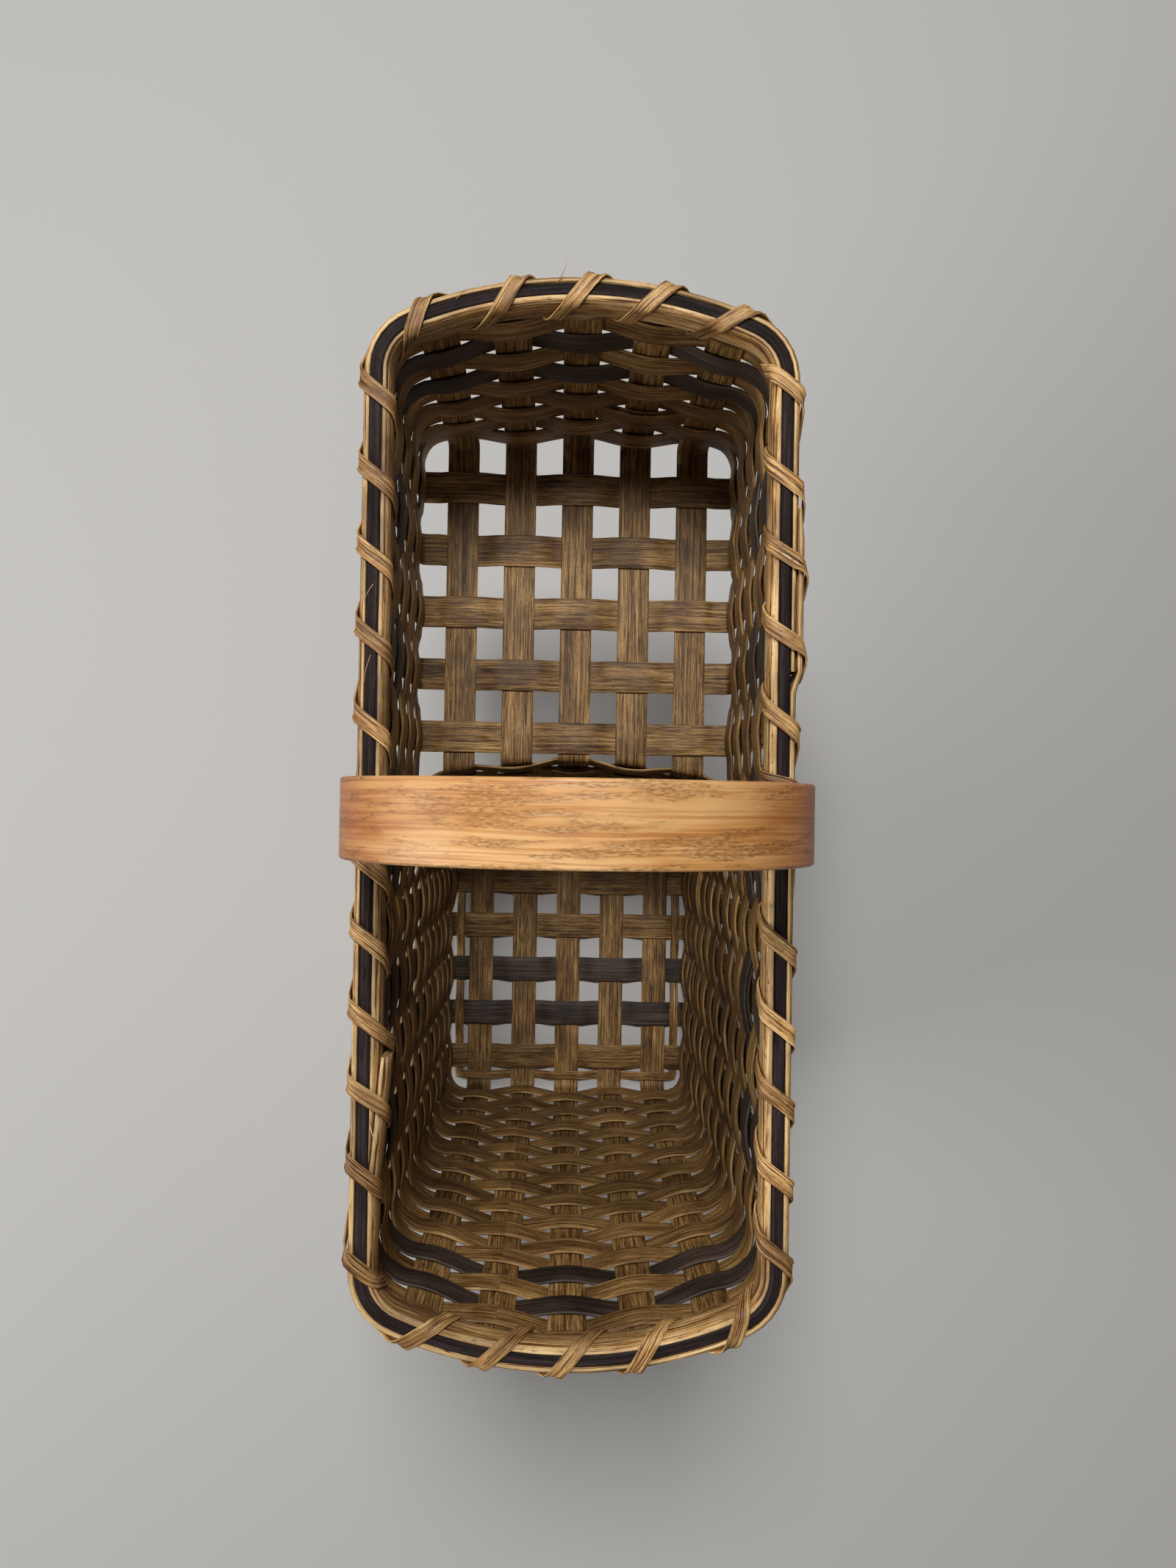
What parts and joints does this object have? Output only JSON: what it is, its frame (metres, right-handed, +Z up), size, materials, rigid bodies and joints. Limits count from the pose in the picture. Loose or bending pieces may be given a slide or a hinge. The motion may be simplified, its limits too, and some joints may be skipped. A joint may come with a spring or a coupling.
{
  "type": "stair basket",
  "caption": "L-shaped woven flat-reed basket that sits on two steps of a stair, with dyed accent bands, a lashed rim and a fixed bent-wood carrying handle.",
  "frame": {"origin": "centre of the bounding box in plan, at the underside of the lower floor", "axes": "+X across the stair, +Y up the stair towards the shallow compartment, +Z up"},
  "size_m": [0.1734, 0.4279, 0.4482],
  "materials": {
    "natural_reed": "stained satin",
    "dyed_reed": "dyed matt",
    "rim_reed": "stained satin",
    "filler_reed": "dyed matt",
    "lashing_reed": "stained satin",
    "oak": "oiled satin"
  },
  "bodies": {
    "root": {"long_stake_01": "natural_reed", "long_stake_02": "natural_reed", "long_stake_03": "natural_reed", "long_stake_04": "natural_reed", "long_stake_05": "natural_reed", "lower_cross_stake_01": "natural_reed", "lower_cross_stake_02": "natural_reed", "lower_cross_stake_03": "natural_reed", "lower_cross_stake_04": "dyed_reed", "lower_cross_stake_05": "dyed_reed", "lower_cross_stake_06": "natural_reed", "upper_cross_stake_01": "natural_reed", "upper_cross_stake_02": "natural_reed", "upper_cross_stake_03": "natural_reed", "upper_cross_stake_04": "natural_reed", "upper_cross_stake_05": "natural_reed", "lower_row_01": "natural_reed", "lower_row_02": "natural_reed", "lower_row_03": "natural_reed", "lower_row_04": "natural_reed", "lower_row_05": "natural_reed", "lower_row_06": "natural_reed", "lower_row_07": "natural_reed", "lower_row_08": "natural_reed", "lower_row_09": "natural_reed", "lower_row_10": "natural_reed", "lower_row_11": "natural_reed", "lower_row_12": "natural_reed", "lower_row_13": "natural_reed", "lower_row_14": "natural_reed", "upper_row_01": "natural_reed", "upper_row_02": "natural_reed", "upper_row_03": "natural_reed", "upper_row_04": "natural_reed", "upper_row_05": "natural_reed", "upper_row_06": "dyed_reed", "upper_row_07": "natural_reed", "upper_row_08": "dyed_reed", "upper_row_09": "natural_reed", "base_lock_row": "natural_reed", "rim_row": "natural_reed", "outer_rim": "rim_reed", "inner_rim": "rim_reed", "rim_filler_deep": "filler_reed", "rim_filler_shallow": "filler_reed", "lashing": "lashing_reed", "handle": "oak"}
  },
  "joints": []
}
